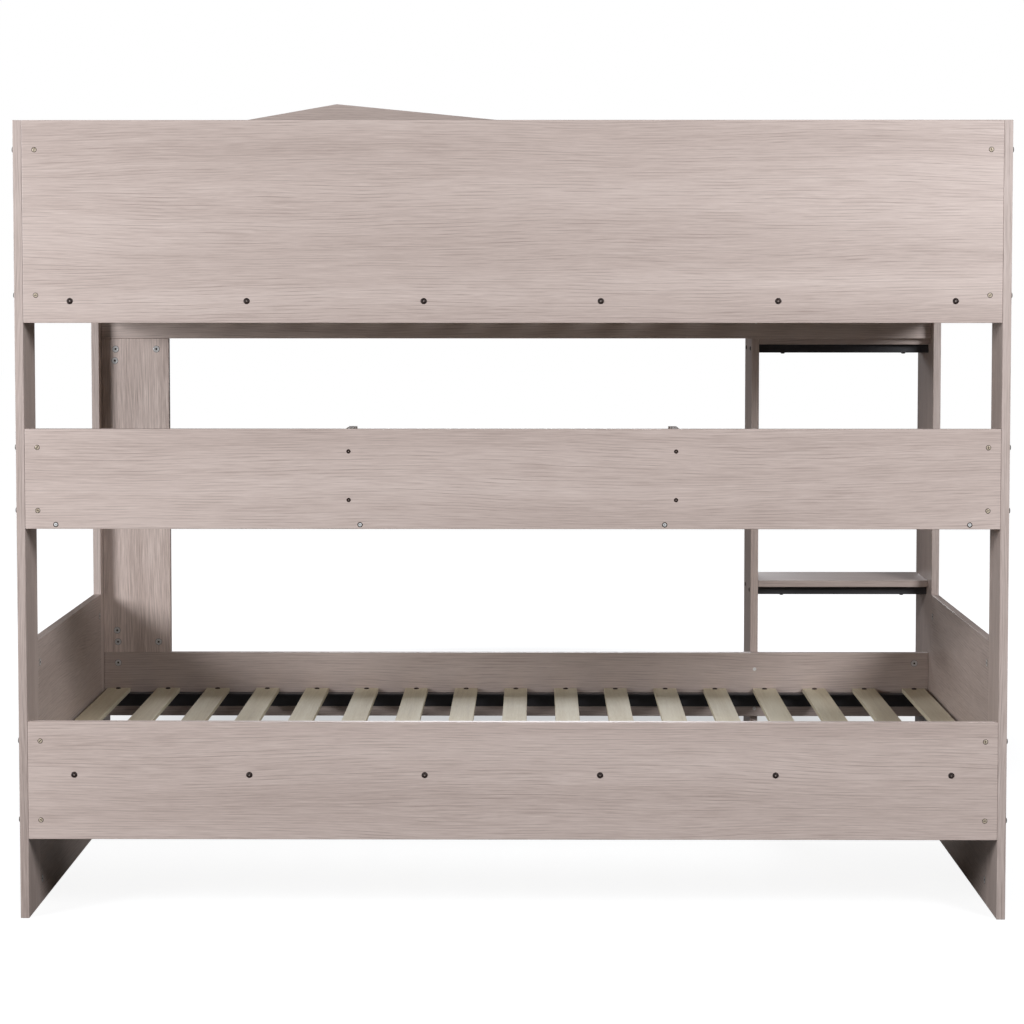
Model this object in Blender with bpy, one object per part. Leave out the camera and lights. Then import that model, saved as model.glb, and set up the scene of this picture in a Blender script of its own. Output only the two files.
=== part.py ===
"""Bunk bed with ladder, built from 18 mm laminated board, black steel and slats.

Units are metres.  +X runs along the bed, +Y points from the closed wall side
to the open side with the ladder, and +Z is up.  The origin is the middle of
the footprint on the floor.
"""

import bpy

# Driving sizes
WIDTH = 2.040            # over the two end frames
HEIGHT = 1.648           # floor to the top of the posts
BOARD = 0.018            # board thickness
INSIDE_DEPTH = 0.917     # between the wall boards and the front rails
LADDER_DEPTH = 0.193     # ladder sides in front of the front rails
FIT = 0.0003             # clearance left between pieces that touch
EDGE = 0.0010            # rounding of the banded board edges
BAR_EDGE = 0.0015        # rounding of the steel bars

# End frames
REAR_POST_WIDTH = 0.120
FRONT_POST_INSIDE = 0.037            # front posts reach this far behind the rails
FRONT_POST_WIDTH = 0.120             # the left one; the right one is a ladder side
LOWER_END_HEIGHT = 0.564
UPPER_BOARD_HEIGHT = 0.4135          # upper end boards and upper wall board

# Wall side boards
LOWER_WALL_BOTTOM = 0.166
LOWER_WALL_HEIGHT = 0.245
MIDDLE_WALL_HEIGHT = 0.206
MIDDLE_WALL_DROP = 0.2175            # gap between the upper and middle boards

# Front rails, stile and guard
RAIL_HEIGHT = 0.155
LOWER_RAIL_BOTTOM = 0.2625
UPPER_RAIL_DROP = 0.312              # top of the upper rail below the post tops
STILE_WIDTH = 0.163
GUARD_DROP = 0.004                   # ends of the guard below the post tops
GUARD_PEAK_RISE = 0.100              # peak above the ends of the guard
GUARD_PEAK_FROM_LEFT = 0.572         # peak to the inside of the left end frame

# Ladder
LADDER_WIDTH = 0.413                 # between the two ladder sides
TREAD_FIRST = 0.281                  # underside of the lowest tread
TREAD_LAST_DROP = 0.015              # top tread's underside below the upper rail
TREAD_COUNT = 4
TREAD_THICK = 0.016
TREAD_SETBACK = 0.010                # treads end short of the ladder's front edge
TREAD_BAR_SIZE = 0.020               # square section
REAR_BAR_INSET = 0.022               # rear bar to the rear edge of the tread
FRONT_BAR_INSET = 0.022              # front bar to the front edge of the tread

# Ledge on the mattress side of the middle wall board
LEDGE_DEPTH = 0.090
LEDGE_RISE = 0.0015                  # shelf above the underside of the board
LEDGE_DIVIDER_SPACING = 0.668

# Slatted bases
SLAT_COUNT = 17
SLAT_WIDTH = 0.055
SLAT_THICK = 0.010
SLAT_END_GAP = 0.009                 # outermost slats to the end frames
SLAT_SIDE_GAP = 0.002                # slat ends to the wall boards and rails
LOWER_SLAT_DROP = 0.0865             # slats below the top of the lower rail
UPPER_SLAT_DROP = 0.0265             # slats below the top of the upper rail
ANGLE_HEIGHT = 0.034
ANGLE_DEPTH = 0.030
ANGLE_THICK = 0.0025
ANGLE_END_GAP = 0.002
TAPE_WIDTH = 0.020
TAPE_THICK = 0.0012
TAPE_INSET = 0.200                   # tape centre line to the end of the slats
TAPE_MARGIN = 0.010                  # tape stops inside the outermost slats

# Lines the pieces are set out from, all from the sizes above
DEPTH = BOARD + INSIDE_DEPTH + BOARD + LADDER_DEPTH
REAR = -DEPTH / 2.0
FRONT_EDGE = DEPTH / 2.0
INNER_X = WIDTH / 2.0 - BOARD
WALL_INSIDE = REAR + BOARD
FRONT_RAIL_REAR = WALL_INSIDE + INSIDE_DEPTH
FRONT_RAIL_FRONT = FRONT_RAIL_REAR + BOARD
FRONT_POST_REAR = FRONT_RAIL_REAR - FRONT_POST_INSIDE
LADDER_SIDE_X = INNER_X - LADDER_WIDTH - BOARD
UPPER_BOARD_BOTTOM = HEIGHT - UPPER_BOARD_HEIGHT
MIDDLE_WALL_TOP = UPPER_BOARD_BOTTOM - MIDDLE_WALL_DROP
MIDDLE_WALL_BOTTOM = MIDDLE_WALL_TOP - MIDDLE_WALL_HEIGHT
LOWER_RAIL_TOP = LOWER_RAIL_BOTTOM + RAIL_HEIGHT
UPPER_RAIL_TOP = HEIGHT - UPPER_RAIL_DROP
UPPER_RAIL_BOTTOM = UPPER_RAIL_TOP - RAIL_HEIGHT
GUARD_END_Z = HEIGHT - GUARD_DROP
TREAD_STEP = (UPPER_RAIL_BOTTOM - TREAD_LAST_DROP - TREAD_FIRST) / (TREAD_COUNT - 1)
SLAT_PITCH = (2.0 * (INNER_X - SLAT_END_GAP) - SLAT_WIDTH) / (SLAT_COUNT - 1)
LOWER_SLAT_TOP = LOWER_RAIL_TOP - LOWER_SLAT_DROP
UPPER_SLAT_TOP = UPPER_RAIL_TOP - UPPER_SLAT_DROP

# Corner numbering of a block: x changes fastest, then y, then z
BOX_FACES = (
    (0, 2, 3, 1),
    (4, 5, 7, 6),
    (0, 1, 5, 4),
    (2, 6, 7, 3),
    (0, 4, 6, 2),
    (1, 3, 7, 5),
)

# Shader settings: colour, metallic, roughness
OAK_LAMINATE = ("grey_oak_laminate", (0.60, 0.50, 0.45), 0.0, 0.45)
SLAT_WOOD = ("pale_slat_wood", (0.72, 0.66, 0.53), 0.0, 0.60)
BLACK_STEEL = ("black_steel", (0.02, 0.02, 0.022), 0.6, 0.40)


def clear_scene():
    """Start from an empty scene."""
    for obj in list(bpy.data.objects):
        bpy.data.objects.remove(obj, do_unlink=True)


def material(node_name, look):
    """One Principled material for one node."""
    label, colour, metallic, roughness = look
    mat = bpy.data.materials.new(label + "." + node_name)
    mat.use_nodes = True
    shader = mat.node_tree.nodes["Principled BSDF"]
    shader.inputs["Base Color"].default_value = (colour[0], colour[1], colour[2], 1.0)
    shader.inputs["Metallic"].default_value = metallic
    shader.inputs["Roughness"].default_value = roughness
    return mat


def solid(name, verts, faces, look, bevel=EDGE):
    """A named closed body with softly rounded edges."""
    mesh = bpy.data.meshes.new(name)
    mesh.from_pydata(verts, [], faces)
    mesh.update()
    mesh.materials.append(material(name, look))
    obj = bpy.data.objects.new(name, mesh)
    bpy.context.scene.collection.objects.link(obj)
    if bevel > 0.0:
        mod = obj.modifiers.new("soft_edges", "BEVEL")
        mod.width = bevel
        mod.segments = 2
        mod.limit_method = "ANGLE"
    return obj


def boxes(name, limits, look, bevel=0.0):
    """Several rectangular blocks in one mesh, each given by (x, y, z) limits."""
    verts = []
    faces = []
    for x, y, z in limits:
        start = len(verts)
        verts += [(px, py, pz) for pz in z for py in y for px in x]
        faces += [tuple(start + i for i in face) for face in BOX_FACES]
    return solid(name, verts, faces, look, bevel)


def box(name, x, y, z, look, bevel=EDGE):
    """A rectangular board given by its (low, high) limits on each axis."""
    return boxes(name, [(x, y, z)], look, bevel)


def prism_along_y(name, outline, y, look, bevel=EDGE):
    """A board cut to an (x, z) outline, listed counter-clockwise seen from -Y."""
    count = len(outline)
    verts = [(px, y[0], pz) for px, pz in outline]
    verts += [(px, y[1], pz) for px, pz in outline]
    faces = [tuple(range(count)), tuple(reversed(range(count, 2 * count)))]
    for i in range(count):
        j = (i + 1) % count
        faces.append((j, i, i + count, j + count))
    return solid(name, verts, faces, look, bevel)


def prism_along_x(name, outline, x, look, bevel=EDGE):
    """A bar with a (y, z) section, listed counter-clockwise seen from +X."""
    count = len(outline)
    verts = [(x[0], py, pz) for py, pz in outline]
    verts += [(x[1], py, pz) for py, pz in outline]
    faces = [tuple(reversed(range(count))), tuple(range(count, 2 * count))]
    for i in range(count):
        j = (i + 1) % count
        faces.append((i, j, j + count, i + count))
    return solid(name, verts, faces, look, bevel)


def end_frames():
    """Posts and end boards at both ends of the bed."""
    for side, sign in (("left", -1.0), ("right", 1.0)):
        x = tuple(sorted((sign * INNER_X, sign * WIDTH / 2.0)))
        front = FRONT_EDGE if side == "right" else FRONT_POST_REAR + FRONT_POST_WIDTH
        inner_y = (REAR + REAR_POST_WIDTH + FIT, FRONT_POST_REAR - FIT)
        box("rear_post_" + side, x, (REAR, REAR + REAR_POST_WIDTH), (0.0, HEIGHT), OAK_LAMINATE)
        box("front_post_" + side, x, (FRONT_POST_REAR, front), (0.0, HEIGHT), OAK_LAMINATE)
        box("end_board_lower_" + side, x, inner_y, (0.0, LOWER_END_HEIGHT), OAK_LAMINATE)
        box("end_board_upper_" + side, x, inner_y, (UPPER_BOARD_BOTTOM, HEIGHT), OAK_LAMINATE)


def wall_boards():
    """Three boards that close the wall side, held between the end frames."""
    x = (-INNER_X + FIT, INNER_X - FIT)
    y = (REAR, WALL_INSIDE)
    lower = (LOWER_WALL_BOTTOM, LOWER_WALL_BOTTOM + LOWER_WALL_HEIGHT)
    box("wall_board_lower", x, y, lower, OAK_LAMINATE)
    box("wall_board_middle", x, y, (MIDDLE_WALL_BOTTOM, MIDDLE_WALL_TOP), OAK_LAMINATE)
    box("wall_board_upper", x, y, (UPPER_BOARD_BOTTOM, HEIGHT), OAK_LAMINATE)


def wall_ledge():
    """Narrow shelf behind the middle wall board, with two upright dividers."""
    x = (-INNER_X + FIT, INNER_X - FIT)
    y = (WALL_INSIDE + FIT, WALL_INSIDE + LEDGE_DEPTH)
    shelf_bottom = MIDDLE_WALL_BOTTOM + LEDGE_RISE
    shelf_top = shelf_bottom + BOARD
    box("ledge_shelf", x, y, (shelf_bottom, shelf_top), OAK_LAMINATE)
    for side, sign in (("left", -1.0), ("right", 1.0)):
        centre = sign * LEDGE_DIVIDER_SPACING / 2.0
        x = (centre - BOARD / 2.0, centre + BOARD / 2.0)
        box("ledge_divider_" + side, x, y, (shelf_top + FIT, MIDDLE_WALL_TOP), OAK_LAMINATE)


def front_rails():
    """Lower and upper rails of the open side, and the stile that joins them."""
    x = (-INNER_X + FIT, INNER_X - FIT)
    y = (FRONT_RAIL_REAR, FRONT_RAIL_FRONT)
    box("front_rail_lower", x, y, (LOWER_RAIL_BOTTOM, LOWER_RAIL_TOP), OAK_LAMINATE)
    box("front_rail_upper", x, y, (UPPER_RAIL_BOTTOM, UPPER_RAIL_TOP), OAK_LAMINATE)
    x = (x[0], -INNER_X + STILE_WIDTH)
    z = (LOWER_RAIL_TOP + FIT, UPPER_RAIL_BOTTOM - FIT)
    box("front_stile", x, y, z, OAK_LAMINATE)


def front_guard():
    """Guard above the upper rail; its top edge rises to an off-centre peak."""
    bottom = UPPER_RAIL_TOP + FIT
    left = -INNER_X + FIT
    right = LADDER_SIDE_X + BOARD
    outline = [
        (left, bottom),
        (right, bottom),
        (right, GUARD_END_Z),
        (GUARD_PEAK_FROM_LEFT - INNER_X, GUARD_END_Z + GUARD_PEAK_RISE),
        (left, GUARD_END_Z),
    ]
    prism_along_y("front_guard", outline, (FRONT_RAIL_REAR, FRONT_RAIL_FRONT), OAK_LAMINATE)


def ladder():
    """Inner ladder side, and flat treads that each rest on two steel bars."""
    inner = (LADDER_SIDE_X, LADDER_SIDE_X + BOARD)
    side_y = (FRONT_RAIL_FRONT + FIT, FRONT_EDGE)
    box("ladder_side_inner", inner, side_y, (0.0, GUARD_END_Z), OAK_LAMINATE)
    x = (inner[1] + FIT, INNER_X - FIT)
    tread_y = (side_y[0], FRONT_EDGE - TREAD_SETBACK)
    bar_rear = tread_y[0] + REAR_BAR_INSET
    bar_front = tread_y[1] - FRONT_BAR_INSET
    bars = (
        ("rear", (bar_rear, bar_rear + TREAD_BAR_SIZE)),
        ("front", (bar_front - TREAD_BAR_SIZE, bar_front)),
    )
    for i in range(TREAD_COUNT):
        bottom = TREAD_FIRST + i * TREAD_STEP
        bar_z = (bottom - FIT - TREAD_BAR_SIZE, bottom - FIT)
        tread_z = (bottom, bottom + TREAD_THICK)
        box("ladder_tread_%d" % (i + 1), x, tread_y, tread_z, OAK_LAMINATE)
        for place, y in bars:
            name = "tread_bar_%s_%d" % (place, i + 1)
            box(name, x, y, bar_z, BLACK_STEEL, BAR_EDGE)


def slat_angles(level, slat_top):
    """Two black steel angles that carry the slats of one bed."""
    top = slat_top - SLAT_THICK - FIT
    bottom = top - ANGLE_HEIGHT
    x = (-INNER_X + ANGLE_END_GAP, INNER_X - ANGLE_END_GAP)
    wall = WALL_INSIDE + FIT
    front = FRONT_RAIL_REAR - FIT
    wall_section = [
        (wall, bottom),
        (wall + ANGLE_THICK, bottom),
        (wall + ANGLE_THICK, top - ANGLE_THICK),
        (wall + ANGLE_DEPTH, top - ANGLE_THICK),
        (wall + ANGLE_DEPTH, top),
        (wall, top),
    ]
    front_section = [(front + wall - y, z) for y, z in reversed(wall_section)]
    prism_along_x("slat_angle_wall_" + level, wall_section, x, BLACK_STEEL, 0.0)
    prism_along_x("slat_angle_front_" + level, front_section, x, BLACK_STEEL, 0.0)


def slat_limits(index, slat_top):
    """(low, high) limits of one slat on the three axes."""
    centre = (index - (SLAT_COUNT - 1) / 2.0) * SLAT_PITCH
    x = (centre - SLAT_WIDTH / 2.0, centre + SLAT_WIDTH / 2.0)
    y = (WALL_INSIDE + SLAT_SIDE_GAP, FRONT_RAIL_REAR - SLAT_SIDE_GAP)
    return x, y, (slat_top - SLAT_THICK, slat_top)


def lower_slats():
    """Separate slats of the lower bed."""
    for i in range(SLAT_COUNT):
        x, y, z = slat_limits(i, LOWER_SLAT_TOP)
        box("slat_lower_%02d" % (i + 1), x, y, z, SLAT_WOOD)


def upper_slat_base():
    """Upper slats as one mat, held by two thin tapes let into their undersides."""
    limits = [slat_limits(i, UPPER_SLAT_TOP) for i in range(SLAT_COUNT)]
    mat = boxes("slat_mat_upper", limits, SLAT_WOOD)
    bottom = UPPER_SLAT_TOP - SLAT_THICK
    x = (limits[0][0][0] + TAPE_MARGIN, limits[-1][0][1] - TAPE_MARGIN)
    y = limits[0][1]
    z = (bottom, bottom + TAPE_THICK)
    centres = (y[0] + TAPE_INSET, y[1] - TAPE_INSET)
    tapes = [(x, (c - TAPE_WIDTH / 2.0, c + TAPE_WIDTH / 2.0), z) for c in centres]
    helper = boxes("tape_shape", tapes, SLAT_WOOD)
    helper.hide_render = True
    helper.display_type = "WIRE"
    mod = mat.modifiers.new("tapes", "BOOLEAN")
    mod.operation = "UNION"
    mod.solver = "EXACT"
    mod.object = helper


def main():
    clear_scene()
    end_frames()
    wall_boards()
    wall_ledge()
    front_rails()
    front_guard()
    ladder()
    slat_angles("lower", LOWER_SLAT_TOP)
    slat_angles("upper", UPPER_SLAT_TOP)
    lower_slats()
    upper_slat_base()


main()
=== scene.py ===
"""Bunk bed with ladder: finishes, fasteners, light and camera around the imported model.

Metres throughout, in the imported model's frame: +X along the bed towards the
ladder, +Y from the closed wall side to the open side, +Z up.
"""

import math

import bpy
from mathutils import Matrix, Vector


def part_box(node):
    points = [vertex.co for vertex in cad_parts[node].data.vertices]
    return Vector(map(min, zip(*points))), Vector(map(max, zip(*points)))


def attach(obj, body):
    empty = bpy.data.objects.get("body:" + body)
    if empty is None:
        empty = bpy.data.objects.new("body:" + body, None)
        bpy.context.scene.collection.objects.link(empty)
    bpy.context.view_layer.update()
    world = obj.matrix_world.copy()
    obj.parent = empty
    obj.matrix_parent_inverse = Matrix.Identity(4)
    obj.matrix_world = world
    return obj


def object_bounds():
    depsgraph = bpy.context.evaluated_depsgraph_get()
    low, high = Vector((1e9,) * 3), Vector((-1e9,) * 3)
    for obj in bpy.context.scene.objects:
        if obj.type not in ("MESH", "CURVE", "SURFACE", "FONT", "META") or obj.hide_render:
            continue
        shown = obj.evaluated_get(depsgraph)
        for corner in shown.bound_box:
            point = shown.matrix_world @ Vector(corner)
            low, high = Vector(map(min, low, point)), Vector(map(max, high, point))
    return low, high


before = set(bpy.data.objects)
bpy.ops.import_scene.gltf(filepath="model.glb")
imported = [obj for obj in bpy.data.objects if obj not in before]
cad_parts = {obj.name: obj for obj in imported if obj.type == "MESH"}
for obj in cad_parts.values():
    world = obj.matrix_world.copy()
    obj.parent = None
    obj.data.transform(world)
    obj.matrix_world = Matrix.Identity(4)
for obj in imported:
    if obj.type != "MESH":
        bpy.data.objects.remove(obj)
CAD_LOW, CAD_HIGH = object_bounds()
BODY = "root"
SLAT_COUNT = 17
TREAD_COUNT = 4

# ---------------------------------------------------------------- fasteners
BOLT_END_INSET = 0.0258          # cross dowel to the end of a wall board
# and from each board's lower and upper edge to the nearest dowel
BOLT_EDGE_INSET = {"upper": (0.0566, 0.0602), "middle": (0.0380, 0.0380), "lower": (0.0400, 0.0400)}
BOLT_HEAD_RADIUS = 0.0065
BOLT_HEAD_RISE = 0.0028
BOLT_SOCKET = 0.0022
DOWEL_RADIUS = 0.0043
DOWEL_RISE = 0.0006
DOWEL_HOLE_EDGE = 0.0011         # width of the painted shade ring at the drilled hole's edge, as in the ones below
ANGLE_SCREW_COUNT = 6
ANGLE_SCREW_SPACING = 0.3624
ANGLE_SCREW_DROP = 0.003         # below the middle of the steel angle
ANGLE_SCREW_RADIUS = 0.0055
ANGLE_SCREW_RISE = 0.0024
ANGLE_SCREW_SOCKET = 0.0026
ANGLE_SCREW_FLOOR = (0.0017, 0.0009)  # radius and height of the socket's lighter floor, a painted glint
ANGLE_SCREW_EDGE = 0.0010
DIVIDER_SCREW_EDGE = 0.0460      # to the upper edge of the middle wall board
DIVIDER_SCREW_PITCH = 0.100
DIVIDER_SCREW_SHIFT = 0.0022     # outwards from the middle of the divider
WOOD_SCREW_RADIUS = 0.0044
DISC_RISE = 0.0005               # how far flat heads stand proud
HOLE_RISE = 0.0003               # of the painted shade rings at the hole edges
RECESS_HEIGHT = 0.0004           # where a flat head's recess bottoms out
DIVIDER_SCREW_FLOOR = 0.0011     # radius of the recess's lighter bottom, a painted glint
LEDGE_SCREW_RADIUS = 0.0036
LEDGE_SCREW_HOLE_EDGE = 0.0019
LEDGE_SCREW_SPACING = 0.626
LEDGE_SCREW_COUNT = 4
LEDGE_SCREW_DROP = 0.0015        # below the middle of the shelf
CAM_RADIUS = 0.0076
CAM_RISE = 0.0006
CAM_HOLE_EDGE = 0.0006
CAM_HUB = 0.28                   # painted shade: dark middle, as a share of the cam's radius
CAM_PAIR = 2.1                   # second cam of a pair, in insets from the same edge
CAM_PAIR_SHIFT = 0.002
CAM_INSET = 0.0255               # cam centre to the edge it draws up
CAM_FREE_INSET = 0.030           # cam centre to the free edge of the stile
CAM_SIDE_INSET = 0.034           # cam centre to the neighbouring edge
END_CAM_INSET = 0.021            # cam in an end board to its seam
END_CAM_EDGE = 0.050             # and to its upper or lower edge
PIN_RADIUS = 0.0060
PIN_RISE = 0.0030
PIN_INSET = 0.013                # slat pin to the end of the slat
BAR_SCREW_OFFSET = 0.1465        # screws under a tread bar, from its middle
SIDE_SCREW = (0.0050, 0.0020, 0.0018)   # radius, rise and socket
TREAD_SCREW = (0.0052, 0.0026, 0.0016)
RAIL_SCREW_INSET = {"lower": (0.019, 0.040), "upper": (0.040, 0.030)}
SEGMENTS = 32

# ------------------------------------------------------------------- camera
CAMERA_X = 0.0484
CAMERA_BEHIND = 5.2              # in front of the wall face
CAMERA_Z = 1.3242
CAMERA_PITCH = 0.0546
CAMERA_YAW = 0.0061
LENS_MM = 89.31
SHIFT_X = -0.0082
SHIFT_Y = -0.0919
SENSOR_MM = 36.0

# -------------------------------------------------------------- oak decor
GROWTH_LINES = 160.0             # growth lines to the metre, across the grain
GROWTH_SWELL = 9.0               # how far they bend into arches, in lines
GROWTH_RIPPLE = 1.1              # and their small waves, in lines
LINE_SHARE = 0.80                # strength of the dark growth lines
BAND_SHARE = 0.42                # what each layer adds to the tone
FIGURE_SHARE = 0.22
STREAK_SHARE = 0.18
FIBRE_SHARE = 0.85
OAK = (
    (0.20, (0.390, 0.298, 0.258)),
    (0.50, (0.560, 0.448, 0.396)),
    (0.80, (0.705, 0.584, 0.524)),
)
OAK_LINE = (0.270, 0.198, 0.170)
# grain direction of the boards that don't run along the bed
GRAIN_AXIS = {
    "rear_post": 2,
    "front_post": 2,
    "front_stile": 2,
    "ladder_side": 2,
    "end_board": 1,
    "ledge_divider": 1,
}
# boards with stronger figure than the rest
BOARD_CONTRAST = {"front_stile": 1.9, "rear_post": 1.2, "front_post": 1.2}
# painted light and shade: boards made lighter where more light falls on them and darker where they
# sit in shade, as lit and shaded copies of one decor; the start of a node's name and its share of the
# tone
PAINTED_LIGHT_TONE = {
    "wall_board_lower": 1.08,
    "wall_board_middle": 1.03,
    "front_rail_lower": 0.88,
    "rear_post": 0.90,
    "front_post_right": 0.86,
    "front_post": 0.94,
    "end_board": 0.84,
    "front_guard": 0.83,
    "front_stile": 1.10,
    "ladder_tread": 0.84,
    "ledge_divider": 0.45,
}
SLAT_WOOD = (
    (0.34, (0.510, 0.420, 0.294)),
    (0.47, (0.605, 0.515, 0.362)),
    (0.60, (0.682, 0.600, 0.444)),
)

# ------------------------------------------------------------------- studio
SURROUND_LIGHT = 0.0
FLOOR_GLOW = 0.90
FLOOR_FADE = (1.3, 3.2)          # where the floor turns plain white, from the middle
SHADE_TONE = 0.50                # the bed's own broad shadow on the open side
SHADE_MIDDLE = (0.0, 1.9)
SHADE_REACH = (1.15, 1.3)
SHADE_EDGE = (0.55, 1.45)        # where it starts and stops fading, in reaches
FLOOR_REACH = 30.0
FLOOR_COLOUR = (0.19, 0.19, 0.19, 1.0)
LIGHTS = (
    # name, azimuth from the wall side, elevation, distance, size, watts
    ("key_left", -52.0, 12.5, 4.5, 1.3, 136.0),
    ("key_right", 42.0, 22.0, 4.5, 1.3, 128.0),
    ("open_side", 180.0, 20.0, 5.0, 1.6, 85.0),
    ("above", 0.0, 85.0, 4.5, 2.5, 22.0),
)
LIGHT_COLOUR = (0.97, 1.0, 1.045)
LIGHT_TARGET = (0.0, 0.0, 0.85)


# ---------------------------------------------------------- material helpers
class Graph:
    """Short names for building one node material."""

    def __init__(self, name):
        self.mat = bpy.data.materials.new(name)
        self.mat.use_nodes = True
        self.tree = self.mat.node_tree
        self.shader = self.tree.nodes["Principled BSDF"]
        self.coord = self.add("ShaderNodeTexCoord").outputs["Object"]

    def add(self, kind, **inputs):
        node = self.tree.nodes.new(kind)
        for key, value in inputs.items():
            node.inputs[key].default_value = value
        return node

    def link(self, source, node, socket):
        self.tree.links.new(source, node.inputs[socket])

    def scaled(self, source, scale, shift=(0.0, 0.0, 0.0)):
        """Coordinates stretched along each axis."""
        node = self.add("ShaderNodeMapping", Scale=scale, Location=shift)
        self.link(source, node, "Vector")
        return node.outputs["Vector"]

    def noise(self, source, detail=2.0, roughness=0.5, out="Fac"):
        node = self.add("ShaderNodeTexNoise", Scale=1.0, Detail=detail)
        node.inputs["Roughness"].default_value = roughness
        self.link(source, node, "Vector")
        return node.outputs[out]

    def math(self, operation, a, b):
        node = self.add("ShaderNodeMath")
        node.operation = operation
        for index, value in enumerate((a, b)):
            if isinstance(value, (int, float)):
                node.inputs[index].default_value = value
            else:
                self.link(value, node, index)
        return node.outputs[0]

    def remap(self, source, low, high, to_low=0.0, to_high=1.0):
        node = self.add("ShaderNodeMapRange")
        node.inputs["From Min"].default_value = low
        node.inputs["From Max"].default_value = high
        node.inputs["To Min"].default_value = to_low
        node.inputs["To Max"].default_value = to_high
        self.link(source, node, "Value")
        return node.outputs["Result"]

    def dot(self, source, direction):
        """How far a place lies along one direction."""
        node = self.add("ShaderNodeVectorMath")
        node.operation = "DOT_PRODUCT"
        self.link(source, node, 0)
        node.inputs[1].default_value = direction
        return node.outputs["Value"]

    def grain(self, length, length_scale, phase, phase_scale):
        """Coordinates that follow the growth lines of the board."""
        node = self.add("ShaderNodeCombineXYZ")
        self.link(self.math("MULTIPLY", length, length_scale), node, 0)
        self.link(self.math("MULTIPLY", phase, phase_scale), node, 1)
        return node.outputs["Vector"]

    def ramp(self, source, stops):
        node = self.add("ShaderNodeValToRGB")
        self.link(source, node, "Fac")
        points = node.color_ramp.elements
        while len(points) < len(stops):
            points.new(0.5)
        for point, (place, colour) in zip(points, stops):
            point.position = place
            point.color = (*colour, 1.0)
        return node.outputs["Color"]

    def toward(self, factor, source, colour):
        """A colour source that gives way to one plain colour."""
        node = self.add("ShaderNodeMix")
        node.data_type = "RGBA"
        self.link(factor, node, 0)
        self.link(source, node, 6)
        node.inputs[7].default_value = (*colour, 1.0)
        return node.outputs[2]

    def bump(self, height, strength, distance):
        node = self.add("ShaderNodeBump", Strength=strength, Distance=distance)
        self.link(height, node, "Height")
        self.link(node.outputs["Normal"], self.shader, "Normal")

    def set(self, **inputs):
        for key, value in inputs.items():
            self.shader.inputs[key.replace("_", " ")].default_value = value


def along(axis, lengthwise, across):
    """A scale with its own value along one axis."""
    return tuple(lengthwise if i == axis else across for i in range(3))


def laminate(name, axis, seed, tone=1.0, contrast=1.0):
    """Grey-pink oak decor: growth lines that bend into long arches, streaks and fibre."""
    g = Graph(name)
    place = g.scaled(g.coord, (1.0, 1.0, 1.0), (seed * 1.37, seed * 2.11, seed * 1.73))
    length = g.dot(place, along(axis, 1.0, 0.0))
    across = g.dot(place, along(axis, 0.0, 1.0))
    swell = g.noise(g.scaled(place, along(axis, 1.1, 6.5)), detail=1.0)
    ripple = g.noise(g.scaled(place, along(axis, 4.5, 20.0)), detail=2.0)
    phase = g.math("MULTIPLY", across, GROWTH_LINES)
    phase = g.math("ADD", phase, g.math("MULTIPLY", swell, GROWTH_SWELL))
    phase = g.math("ADD", phase, g.math("MULTIPLY", ripple, GROWTH_RIPPLE))
    ring = g.math("FRACT", phase, 0.0)
    late = g.math("MULTIPLY", g.remap(ring, 0.70, 0.90), g.remap(ring, 1.0, 0.93))
    late = g.math("POWER", late, 1.5)
    patch = g.noise(g.grain(length, 7.0, phase, 0.45), detail=3.0, roughness=0.6)
    late = g.math("MULTIPLY", late, g.remap(patch, 0.44, 0.60))
    layers = (
        (BAND_SHARE, g.noise(g.scaled(place, along(axis, 0.6, 8.0)), detail=1.0)),
        (FIGURE_SHARE, g.noise(g.grain(length, 1.0, phase, 0.17), detail=2.0)),
        (STREAK_SHARE, g.noise(g.grain(length, 3.0, phase, 0.6), detail=2.0, roughness=0.6)),
        (FIBRE_SHARE, g.noise(g.grain(length, 13.0, phase, 3.3), detail=3.0, roughness=0.7)),
    )
    value = 0.5 - 0.5 * contrast * sum(share for share, _ in layers)
    for share, layer in layers:
        value = g.math("ADD", g.math("MULTIPLY", layer, contrast * share), value)
        fibre = layer
    # tone lifts or darkens the whole decor: painted light and shade for this board
    colour = g.ramp(value, [(stop, tuple(tone * c for c in shade)) for stop, shade in OAK])
    dark = tuple(tone * c for c in OAK_LINE)
    colour = g.toward(g.math("MULTIPLY", late, LINE_SHARE), colour, dark)
    g.link(colour, g.shader, "Base Color")
    g.link(g.remap(fibre, 0.3, 0.7, 0.52, 0.42), g.shader, "Roughness")
    g.bump(g.math("SUBTRACT", fibre, late), 0.10, 0.0003)
    g.set(Specular_IOR_Level=0.75)
    return g.mat


def slat_wood(name, axis):
    """Pale plain softwood, planed, with faint grain along the slat."""
    g = Graph(name)
    wave = g.noise(g.scaled(g.coord, along(axis, 1.6, 14.0)), detail=1.0, out="Color")
    warp = g.add("ShaderNodeVectorMath")
    warp.operation = "MULTIPLY_ADD"
    g.link(wave, warp, 0)
    warp.inputs[1].default_value = along(axis, 0.0, 0.030)
    g.link(g.coord, warp, 2)
    lines = g.noise(g.scaled(warp.outputs[0], along(axis, 2.0, 170.0)), detail=3.0, roughness=0.6)
    broad = g.noise(g.scaled(g.coord, along(axis, 0.8, 16.0)), detail=2.0)
    fibre = g.noise(g.scaled(g.coord, along(axis, 25.0, 900.0)), detail=2.0)
    tone = g.math("MULTIPLY", lines, 0.28)
    tone = g.math("ADD", tone, g.math("MULTIPLY", broad, 0.55))
    tone = g.math("ADD", tone, g.math("MULTIPLY", fibre, 0.17))
    g.link(g.ramp(tone, SLAT_WOOD), g.shader, "Base Color")
    g.link(g.remap(fibre, 0.3, 0.7, 0.72, 0.58), g.shader, "Roughness")
    g.bump(g.math("ADD", lines, fibre), 0.25, 0.0004)
    g.set(Specular_IOR_Level=0.3)
    return g.mat


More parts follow.
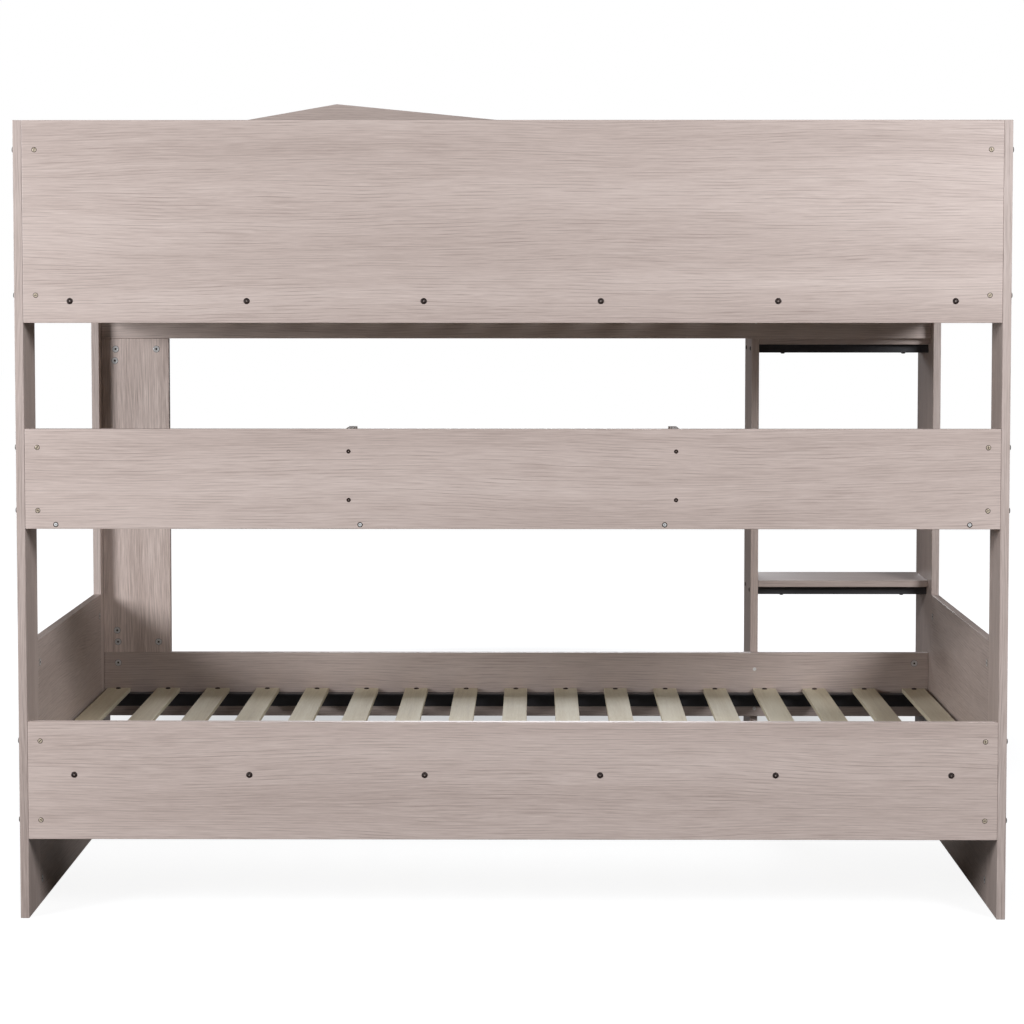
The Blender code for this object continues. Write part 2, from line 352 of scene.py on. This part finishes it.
def painted_steel(name):
    """Black powder coat with a fine orange-peel surface."""
    g = Graph(name)
    peel = g.noise(g.scaled(g.coord, (420.0, 420.0, 420.0)), detail=2.0)
    dust = g.noise(g.scaled(g.coord, (6.0, 6.0, 6.0)), detail=4.0, roughness=0.65)
    colour = g.ramp(dust, ((0.35, (0.022, 0.021, 0.023)), (0.70, (0.040, 0.038, 0.042))))
    g.link(colour, g.shader, "Base Color")
    g.link(g.remap(dust, 0.3, 0.7, 0.34, 0.46), g.shader, "Roughness")
    g.bump(peel, 0.12, 0.0003)
    return g.mat


def plated_metal(name, dark, light, roughness, metallic=0.6):
    """Worn plated metal for bolts, dowels and cams."""
    g = Graph(name)
    stain = g.noise(g.scaled(g.coord, (260.0, 260.0, 260.0)), detail=4.0, roughness=0.6)
    g.link(g.ramp(stain, ((0.35, dark), (0.65, light))), g.shader, "Base Color")
    g.link(g.remap(stain, 0.3, 0.7, roughness + 0.08, roughness - 0.08), g.shader, "Roughness")
    g.bump(stain, 0.10, 0.0002)
    g.set(Metallic=metallic)
    return g.mat


def shadow_gap(name):
    """Painted shade: a dark mottled colour standing in for the shadow in a drilled hole around a
    fastener.
    """
    g = Graph(name)
    shade_mottle = g.noise(g.scaled(g.coord, (300.0, 300.0, 300.0)), detail=2.0)
    colour = g.ramp(shade_mottle, ((0.3, (0.020, 0.014, 0.011)), (0.7, (0.045, 0.033, 0.027))))
    g.link(colour, g.shader, "Base Color")
    g.set(Roughness=0.9)
    return g.mat


# ------------------------------------------------------------- mesh helpers
def round_ring(radius):
    return lambda angle: radius


def hex_ring(apothem):
    third = math.pi / 3.0
    return lambda angle: apothem / math.cos((angle % third) - third / 2.0)


def cross_ring(inner, outer):
    def radius(angle):
        lobe = abs(math.cos(2.0 * angle)) ** 3
        return inner + (outer - inner) * lobe

    return radius


def slot_ring(half_width, reach):
    def radius(angle):
        across = abs(math.sin(angle))
        return min(reach, half_width / max(across, 1e-6))

    return radius


def turned(rings):
    """Closed body from (ring shape, height) pairs, listed from the board outwards."""
    verts = []
    faces = []
    for shape, height in rings:
        for i in range(SEGMENTS):
            angle = 2.0 * math.pi * i / SEGMENTS
            radius = shape(angle)
            verts.append((radius * math.cos(angle), radius * math.sin(angle), height))
    for level in range(len(rings) - 1):
        base = level * SEGMENTS
        for i in range(SEGMENTS):
            j = (i + 1) % SEGMENTS
            faces.append((base + i, base + j, base + SEGMENTS + j, base + SEGMENTS + i))
    faces.append(tuple(reversed(range(SEGMENTS))))
    last = (len(rings) - 1) * SEGMENTS
    faces.append(tuple(last + i for i in range(SEGMENTS)))
    return verts, faces


def facing(direction, spin=0.0):
    """Rotation that turns local +Z to a direction, after a spin about it."""
    turn = Vector(direction).to_track_quat("Z", "Y").to_matrix().to_4x4()
    return turn @ Matrix.Rotation(spin, 4, "Z")


def fasteners(name, shape, places, direction, mat, spin_step=0.7):
    """One piece made of copies of a turned shape, each at its own angle."""
    base_verts, base_faces = shape
    verts = []
    faces = []
    for index, place in enumerate(places):
        move = Matrix.Translation(place) @ facing(direction, index * spin_step)
        start = len(verts)
        verts += [tuple(move @ Vector(v)) for v in base_verts]
        faces += [tuple(start + i for i in face) for face in base_faces]
    mesh = bpy.data.meshes.new(name)
    mesh.from_pydata(verts, [], faces)
    mesh.update()
    mesh.materials.append(mat)
    obj = bpy.data.objects.new(name, mesh)
    bpy.context.scene.collection.objects.link(obj)
    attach(obj, BODY)
    return obj


def button_head(radius, rise, socket):
    """Domed head with a hexagon socket."""
    return turned(
        (
            (round_ring(radius), 0.0),
            (round_ring(radius), rise * 0.18),
            (round_ring(radius * 0.93), rise * 0.52),
            (round_ring(radius * 0.76), rise * 0.83),
            (round_ring(radius * 0.58), rise),
            (hex_ring(socket), rise * 0.98),
            (hex_ring(socket * 0.94), rise * 0.25),
        )
    )


def slotted_disc(radius, rise):
    """Flat dowel end with a screwdriver slot."""
    return turned(
        (
            (round_ring(radius), 0.0),
            (round_ring(radius), rise * 0.6),
            (round_ring(radius * 0.90), rise),
            (slot_ring(radius * 0.17, radius * 0.80), rise * 0.98),
            (slot_ring(radius * 0.14, radius * 0.76), rise * 0.15),
        )
    )


def cross_disc(radius, rise, reach):
    """Flat head with a cross recess."""
    return turned(
        (
            (round_ring(radius), 0.0),
            (round_ring(radius), rise * 0.5),
            (round_ring(radius * 0.92), rise),
            (cross_ring(radius * 0.16, reach), rise * 0.97),
            (cross_ring(radius * 0.10, reach * 0.85), rise * 0.10),
        )
    )


def wood_screw(radius):
    """Countersunk head with a cross recess."""
    return cross_disc(radius, DISC_RISE, radius * 0.55)


def cam_disc(radius, rise):
    """Eccentric cam: a raised rim, a sunk face and a cross recess."""
    return turned(
        (
            (round_ring(radius), 0.0),
            (round_ring(radius), rise * 0.7),
            (round_ring(radius * 0.94), rise),
            (round_ring(radius * 0.70), rise),
            (round_ring(radius * 0.62), rise * 0.55),
            (cross_ring(radius * 0.20, radius * 0.46), rise * 0.50),
            (cross_ring(radius * 0.15, radius * 0.40), rise * 0.05),
        )
    )


def hole_rim(radius, width, rise):
    """Thin flat washer-like rim that carries the painted shade of a drilled hole's edge."""
    return turned(
        (
            (round_ring(radius + width), 0.0),
            (round_ring(radius + width * 0.8), rise),
            (round_ring(radius), rise * 0.5),
        )
    )


def pin_head(radius, rise):
    """Low round pin."""
    return turned(
        (
            (round_ring(radius), 0.0),
            (round_ring(radius), rise * 0.45),
            (round_ring(radius * 0.86), rise * 0.80),
            (round_ring(radius * 0.55), rise),
        )
    )


def backed(name, radius, width, places, direction, metals):
    """Painted shade: dark rings standing in for the shadow at the edges of the drilled holes that a
    row of fasteners sits in.
    """
    rim = hole_rim(radius, width, HOLE_RISE)
    fasteners(name + "_painted_hole_shade", rim, places, direction, metals["gap"])


def recessed(name, ring, height, places, direction, mat):
    """Plain discs at the bottoms of the sockets in a row of fasteners, in the material given: a
    painted glint in the screws, painted shade in the cams.
    """
    way = Vector(direction) * height
    bottom = turned(((ring, 0.0), (ring, 0.0002)))
    raised = [tuple(Vector(place) + way) for place in places]
    fasteners(name + "_painted_socket_glint_and_shade", bottom, raised, direction, mat)


# --------------------------------------------------------------- placements
def wall_bolt_heights():
    """Heights of the bolts that hold the three wall boards."""
    heights = []
    for level, inset in BOLT_EDGE_INSET.items():
        low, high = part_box("wall_board_" + level)
        heights += [low.z + inset[0], high.z - inset[1]]
    return heights


def corner_bolts(metals):
    """Dowels in the wall boards and bolt heads on the outside of the end frames."""
    low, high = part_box("wall_board_upper")
    dowels = []
    for z in wall_bolt_heights():
        dowels += [(low.x + BOLT_END_INSET, low.y, z), (high.x - BOLT_END_INSET, low.y, z)]
    backed("dowel", DOWEL_RADIUS, DOWEL_HOLE_EDGE, dowels, (0, -1, 0), metals)
    disc = slotted_disc(DOWEL_RADIUS, DOWEL_RISE)
    fasteners("cross_dowels", disc, dowels, (0, -1, 0), metals["bronze"])
    head = button_head(BOLT_HEAD_RADIUS, BOLT_HEAD_RISE, BOLT_SOCKET)
    for side, sign in (("left", -1.0), ("right", 1.0)):
        face = CAD_HIGH.x if sign > 0 else CAD_LOW.x
        places = [(face, (low.y + high.y) / 2.0, z) for z in wall_bolt_heights()]
        name = "bolt_heads_" + side
        fasteners(name, head, places, (sign, 0, 0), metals["nickel"])


def angle_screws(metals):
    """Black screws through the wall boards into the slat angles, and under the rails."""
    head = button_head(ANGLE_SCREW_RADIUS, ANGLE_SCREW_RISE, ANGLE_SCREW_SOCKET)
    floor, height = ANGLE_SCREW_FLOOR
    first = -(ANGLE_SCREW_COUNT - 1) / 2.0 * ANGLE_SCREW_SPACING
    for level in ("lower", "upper"):
        board_low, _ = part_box("wall_board_" + level)
        low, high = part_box("slat_angle_wall_" + level)
        z = (low.z + high.z) / 2.0 - ANGLE_SCREW_DROP
        xs = [first + i * ANGLE_SCREW_SPACING for i in range(ANGLE_SCREW_COUNT)]
        places = [(x, board_low.y, z) for x in xs]
        name = "angle_screws_wall_" + level
        backed(name, ANGLE_SCREW_RADIUS, ANGLE_SCREW_EDGE, places, (0, -1, 0), metals)
        fasteners(name, head, places, (0, -1, 0), metals["black"])
        # lighter socket floors: painted glint
        recessed(name, hex_ring(floor), height, places, (0, -1, 0), metals["painted_glint"])
        _, rail_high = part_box("front_rail_" + level)
        places = [(x, rail_high.y, z) for x in xs]
        fasteners("angle_screws_front_" + level, head, places, (0, 1, 0), metals["black"])


def ledge_screws(metals):
    """Screws through the middle wall board into the ledge and its dividers."""
    low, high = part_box("wall_board_middle")
    dark = []
    for side in ("left", "right"):
        a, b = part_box("ledge_divider_" + side)
        out = DIVIDER_SCREW_SHIFT if side == "right" else -DIVIDER_SCREW_SHIFT
        x = (a.x + b.x) / 2.0 + out
        z = high.z - DIVIDER_SCREW_EDGE
        dark += [(x, low.y, z), (x, low.y, z - DIVIDER_SCREW_PITCH)]
    screw = wood_screw(WOOD_SCREW_RADIUS)
    fasteners("divider_screws", screw, dark, (0, -1, 0), metals["dark"])
    # lighter recess bottoms: painted glint
    painted_glint = round_ring(DIVIDER_SCREW_FLOOR)
    recessed("divider_screws", painted_glint, RECESS_HEIGHT, dark, (0, -1, 0), metals["painted_glint"])
    a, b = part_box("ledge_shelf")
    first = -(LEDGE_SCREW_COUNT - 1) / 2.0 * LEDGE_SCREW_SPACING
    z = (a.z + b.z) / 2.0 - LEDGE_SCREW_DROP
    bright = [(first + i * LEDGE_SCREW_SPACING, low.y, z) for i in range(LEDGE_SCREW_COUNT)]
    edge = LEDGE_SCREW_HOLE_EDGE
    backed("ledge_screws", LEDGE_SCREW_RADIUS, edge, bright, (0, -1, 0), metals)
    screw = cross_disc(LEDGE_SCREW_RADIUS, DISC_RISE, LEDGE_SCREW_RADIUS * 0.50)
    fasteners("ledge_screws", screw, bright, (0, -1, 0), metals["zinc"])


def cams(metals):
    """Eccentric cams in the stile, rails and end boards."""
    cam = cam_disc(CAM_RADIUS, CAM_RISE)
    low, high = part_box("front_stile")
    left = low.x + CAM_SIDE_INSET
    right = high.x - CAM_FREE_INSET
    places = []
    for edge, way in ((low.z, 1.0), (high.z, -1.0)):
        places += [(left, low.y, edge + way * CAM_INSET), (right, low.y, edge + way * CAM_INSET)]
        places.append((left - CAM_PAIR_SHIFT, low.y, edge + way * CAM_INSET * CAM_PAIR))
    for level in ("lower", "upper"):
        a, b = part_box("front_rail_" + level)
        z = b.z - CAM_INSET
        places += [(a.x + CAM_SIDE_INSET, a.y, z), (b.x - CAM_SIDE_INSET, a.y, z)]
    backed("cams_front", CAM_RADIUS, CAM_HOLE_EDGE, places, (0, -1, 0), metals)
    fasteners("cams_front", cam, places, (0, -1, 0), metals["cam"])
    # dark disc over each cam's recess: painted shade
    painted_hub_shade = round_ring(CAM_RADIUS * CAM_HUB)
    recessed("cams_front", painted_hub_shade, RECESS_HEIGHT, places, (0, -1, 0), metals["gap"])
    for side, sign in (("left", 1.0), ("right", -1.0)):
        places = []
        for level in ("lower", "upper"):
            a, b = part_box("end_board_%s_%s" % (level, side))
            x = b.x if sign > 0 else a.x
            for y in (a.y + END_CAM_INSET, b.y - END_CAM_INSET):
                places += [(x, y, a.z + END_CAM_EDGE), (x, y, b.z - END_CAM_EDGE)]
        name = "cams_end_" + side
        backed(name, CAM_RADIUS, CAM_HOLE_EDGE, places, (sign, 0, 0), metals)
        fasteners(name, cam, places, (sign, 0, 0), metals["cam"])
        recessed(name, painted_hub_shade, RECESS_HEIGHT, places, (sign, 0, 0), metals["gap"])


def ladder_screws(metals):
    """Screws through the ladder sides into the bars, and up into the treads."""
    side_low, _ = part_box("ladder_side_inner")
    _, post_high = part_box("front_post_right")
    inner = []
    outer = []
    under = []
    for i in range(1, TREAD_COUNT + 1):
        for place in ("rear", "front"):
            a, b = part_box("tread_bar_%s_%d" % (place, i))
            mid = (a + b) / 2.0
            inner.append((side_low.x, mid.y, mid.z))
            outer.append((post_high.x, mid.y, mid.z))
            under += [(mid.x - BAR_SCREW_OFFSET, mid.y, a.z), (mid.x + BAR_SCREW_OFFSET, mid.y, a.z)]
    head = button_head(*SIDE_SCREW)
    fasteners("ladder_screws_inner", head, inner, (-1, 0, 0), metals["black"])
    fasteners("ladder_screws_outer", head, outer, (1, 0, 0), metals["black"])
    head = button_head(*TREAD_SCREW)
    fasteners("tread_screws", head, under, (0, 0, -1), metals["black"])
    a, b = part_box("ladder_side_inner")
    x = (a.x + b.x) / 2.0
    places = []
    for level, inset in RAIL_SCREW_INSET.items():
        c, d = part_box("front_rail_" + level)
        places += [(x, c.y, c.z + inset[0]), (x, c.y, d.z - inset[1])]
    screw = wood_screw(WOOD_SCREW_RADIUS)
    fasteners("ladder_rail_screws", screw, places, (0, -1, 0), metals["zinc"])


def slat_pins(metals):
    """Dark pins that hold each slat to the angles, on both beds."""
    head = pin_head(PIN_RADIUS, PIN_RISE)
    places = []
    xs = []
    for i in range(1, SLAT_COUNT + 1):
        a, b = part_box("slat_lower_%02d" % i)
        xs.append((a.x + b.x) / 2.0)
        places += [(xs[-1], a.y + PIN_INSET, b.z), (xs[-1], b.y - PIN_INSET, b.z)]
    fasteners("slat_pins_lower", head, places, (0, 0, 1), metals["dark"])
    a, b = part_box("slat_mat_upper")
    places = []
    for x in xs:
        places += [(x, a.y + PIN_INSET, b.z), (x, b.y - PIN_INSET, b.z)]
    fasteners("slat_pins_upper", head, places, (0, 0, 1), metals["dark"])


# ----------------------------------------------------------------- finishes
def named(table, name, other):
    """The table's value for the start of a node's name."""
    for start, value in table.items():
        if name.startswith(start):
            return value
    return other


def finish_nodes(steel, slats):
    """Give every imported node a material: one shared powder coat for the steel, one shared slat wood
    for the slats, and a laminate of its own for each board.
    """
    seed = 0
    for name, obj in sorted(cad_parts.items()):
        if name.startswith("slat_angle") or name.startswith("tread_bar"):
            mat = steel
        elif name.startswith("slat"):
            mat = slats
        else:
            seed += 1
            axis = named(GRAIN_AXIS, name, 0)
            # painted light and shade for this board
            tone = named(PAINTED_LIGHT_TONE, name, 1.0)
            contrast = named(BOARD_CONTRAST, name, 1.0)
            mat = laminate("laminate_" + name, axis, seed, tone, contrast)
        obj.data.materials.clear()
        obj.data.materials.append(mat)


# --------------------------------------------------------------- the studio
def link_glow(tree, socket, unseen, seen):
    """A strength that is higher where the surface is seen than where it lights others."""
    path = tree.nodes.new("ShaderNodeLightPath")
    level = tree.nodes.new("ShaderNodeMapRange")
    level.inputs["To Min"].default_value = unseen
    level.inputs["To Max"].default_value = seen
    tree.links.new(path.outputs["Is Camera Ray"], level.inputs["Value"])
    tree.links.new(level.outputs["Result"], socket)


def broad_shade(tree, place):
    """A soft oval on the floor of the open side, darkest in its middle."""
    oval = tree.nodes.new("ShaderNodeMapping")
    oval.inputs["Scale"].default_value = (1.0 / SHADE_REACH[0], 1.0 / SHADE_REACH[1], 0.0)
    shift = tuple(-middle / reach for middle, reach in zip(SHADE_MIDDLE, SHADE_REACH))
    oval.inputs["Location"].default_value = (*shift, 0.0)
    tree.links.new(place, oval.inputs["Vector"])
    length = tree.nodes.new("ShaderNodeVectorMath")
    length.operation = "LENGTH"
    tree.links.new(oval.outputs["Vector"], length.inputs[0])
    shade = tree.nodes.new("ShaderNodeMapRange")
    shade.interpolation_type = "SMOOTHSTEP"
    shade.inputs["From Min"].default_value = SHADE_EDGE[0]
    shade.inputs["From Max"].default_value = SHADE_EDGE[1]
    shade.inputs["To Min"].default_value = SHADE_TONE
    shade.inputs["To Max"].default_value = 1.0
    tree.links.new(length.outputs["Value"], shade.inputs["Value"])
    return shade.outputs["Result"]


def floor_white():
    """Pale paper floor that stays white without filling the bed with bounced light."""
    mat = bpy.data.materials.new("floor_white")
    mat.use_nodes = True
    shader = mat.node_tree.nodes["Principled BSDF"]
    shader.inputs["Base Color"].default_value = FLOOR_COLOUR
    shader.inputs["Roughness"].default_value = 0.8
    shader.inputs["Specular IOR Level"].default_value = 0.1
    shader.inputs["Emission Color"].default_value = (1.0, 1.0, 1.0, 1.0)
    tree = mat.node_tree
    coord = tree.nodes.new("ShaderNodeTexCoord")
    length = tree.nodes.new("ShaderNodeVectorMath")
    length.operation = "LENGTH"
    tree.links.new(coord.outputs["Object"], length.inputs[0])
    fade = tree.nodes.new("ShaderNodeMapRange")
    fade.interpolation_type = "SMOOTHSTEP"
    fade.inputs["From Min"].default_value = FLOOR_FADE[0]
    fade.inputs["From Max"].default_value = FLOOR_FADE[1]
    fade.inputs["To Min"].default_value = FLOOR_GLOW
    fade.inputs["To Max"].default_value = 1.0
    tree.links.new(length.outputs["Value"], fade.inputs["Value"])
    level = fade.outputs["Result"]
    path = tree.nodes.new("ShaderNodeLightPath")
    for factor in (broad_shade(tree, coord.outputs["Object"]), path.outputs["Is Camera Ray"]):
        product = tree.nodes.new("ShaderNodeMath")
        product.operation = "MULTIPLY"
        tree.links.new(level, product.inputs[0])
        tree.links.new(factor, product.inputs[1])
        level = product.outputs[0]
    tree.links.new(level, shader.inputs["Emission Strength"])
    return mat


def studio():
    """Pale floor and white surround; the soft light from both sides comes from lamps()."""
    mesh = bpy.data.meshes.new("floor")
    ends = (-FLOOR_REACH, FLOOR_REACH)
    corners = [(ends[i], ends[j], 0.0) for i, j in ((0, 0), (1, 0), (1, 1), (0, 1))]
    mesh.from_pydata(corners, [], [(0, 1, 2, 3)])
    floor = bpy.data.objects.new("floor", mesh)
    bpy.context.scene.collection.objects.link(floor)
    mesh.materials.append(floor_white())

    world = bpy.data.worlds.new("surround")
    world.use_nodes = True
    tree = world.node_tree
    back = tree.nodes["Background"]
    back.inputs["Color"].default_value = (1.0, 1.0, 1.0, 1.0)
    link_glow(tree, back.inputs["Strength"], SURROUND_LIGHT, 1.0)
    bpy.context.scene.world = world


def lamps():
    for name, azimuth, elevation, distance, size, watts in LIGHTS:
        data = bpy.data.lights.new(name, "AREA")
        data.shape = "SQUARE"
        data.size = size
        data.energy = watts
        data.color = LIGHT_COLOUR
        lamp = bpy.data.objects.new(name, data)
        a = math.radians(azimuth)
        e = math.radians(elevation)
        way = Vector((math.sin(a) * math.cos(e), -math.cos(a) * math.cos(e), math.sin(e)))
        lamp.location = Vector(LIGHT_TARGET) + way * distance
        lamp.rotation_euler = (-way).to_track_quat("-Z", "Y").to_euler()
        bpy.context.scene.collection.objects.link(lamp)


def camera():
    data = bpy.data.cameras.new("camera")
    data.sensor_width = SENSOR_MM
    data.lens = LENS_MM
    data.shift_x = SHIFT_X
    data.shift_y = SHIFT_Y
    data.clip_end = 100.0
    cam = bpy.data.objects.new("camera", data)
    cam.location = (CAMERA_X, CAD_LOW.y - CAMERA_BEHIND, CAMERA_Z)
    cam.rotation_euler = (math.pi / 2.0 - CAMERA_PITCH, 0.0, CAMERA_YAW)
    bpy.context.scene.collection.objects.link(cam)
    bpy.context.scene.camera = cam


def main():
    bpy.context.scene.view_settings.view_transform = "Standard"
    metals = {
        "bronze": plated_metal("bronze_plate", (0.40, 0.31, 0.22), (0.82, 0.70, 0.54), 0.40, 0.3),
        "zinc": plated_metal("zinc_plate", (0.66, 0.64, 0.62), (0.96, 0.94, 0.92), 0.30, 0.2),
        "nickel": plated_metal("dark_nickel", (0.10, 0.09, 0.08), (0.24, 0.22, 0.20), 0.40),
        "dark": plated_metal("dark_screw", (0.016, 0.008, 0.006), (0.060, 0.032, 0.024), 0.40, 0.3),
        "black": plated_metal("black_oxide", (0.010, 0.004, 0.003), (0.044, 0.022, 0.016), 0.55, 0.2),
        # cam zinc: zinc plate darkened as painted shade, for the cams that sit in shadow
        "cam": plated_metal("cam_zinc_painted_shade", (0.44, 0.43, 0.42), (0.80, 0.78, 0.76), 0.30, 0.3),
        # painted glint: lighter colour for socket floors, standing in for reflected light
        "painted_glint": plated_metal("painted_socket_glint", (0.22, 0.17, 0.15), (0.48, 0.40, 0.36), 0.40, 0.2),
        # gap: painted shade in the drilled holes around the fasteners
        "gap": shadow_gap("painted_hole_shade"),
    }
    finish_nodes(painted_steel("powder_coat"), slat_wood("slat_wood", 1))
    corner_bolts(metals)
    angle_screws(metals)
    ledge_screws(metals)
    cams(metals)
    ladder_screws(metals)
    slat_pins(metals)
    studio()
    lamps()
    camera()


main()
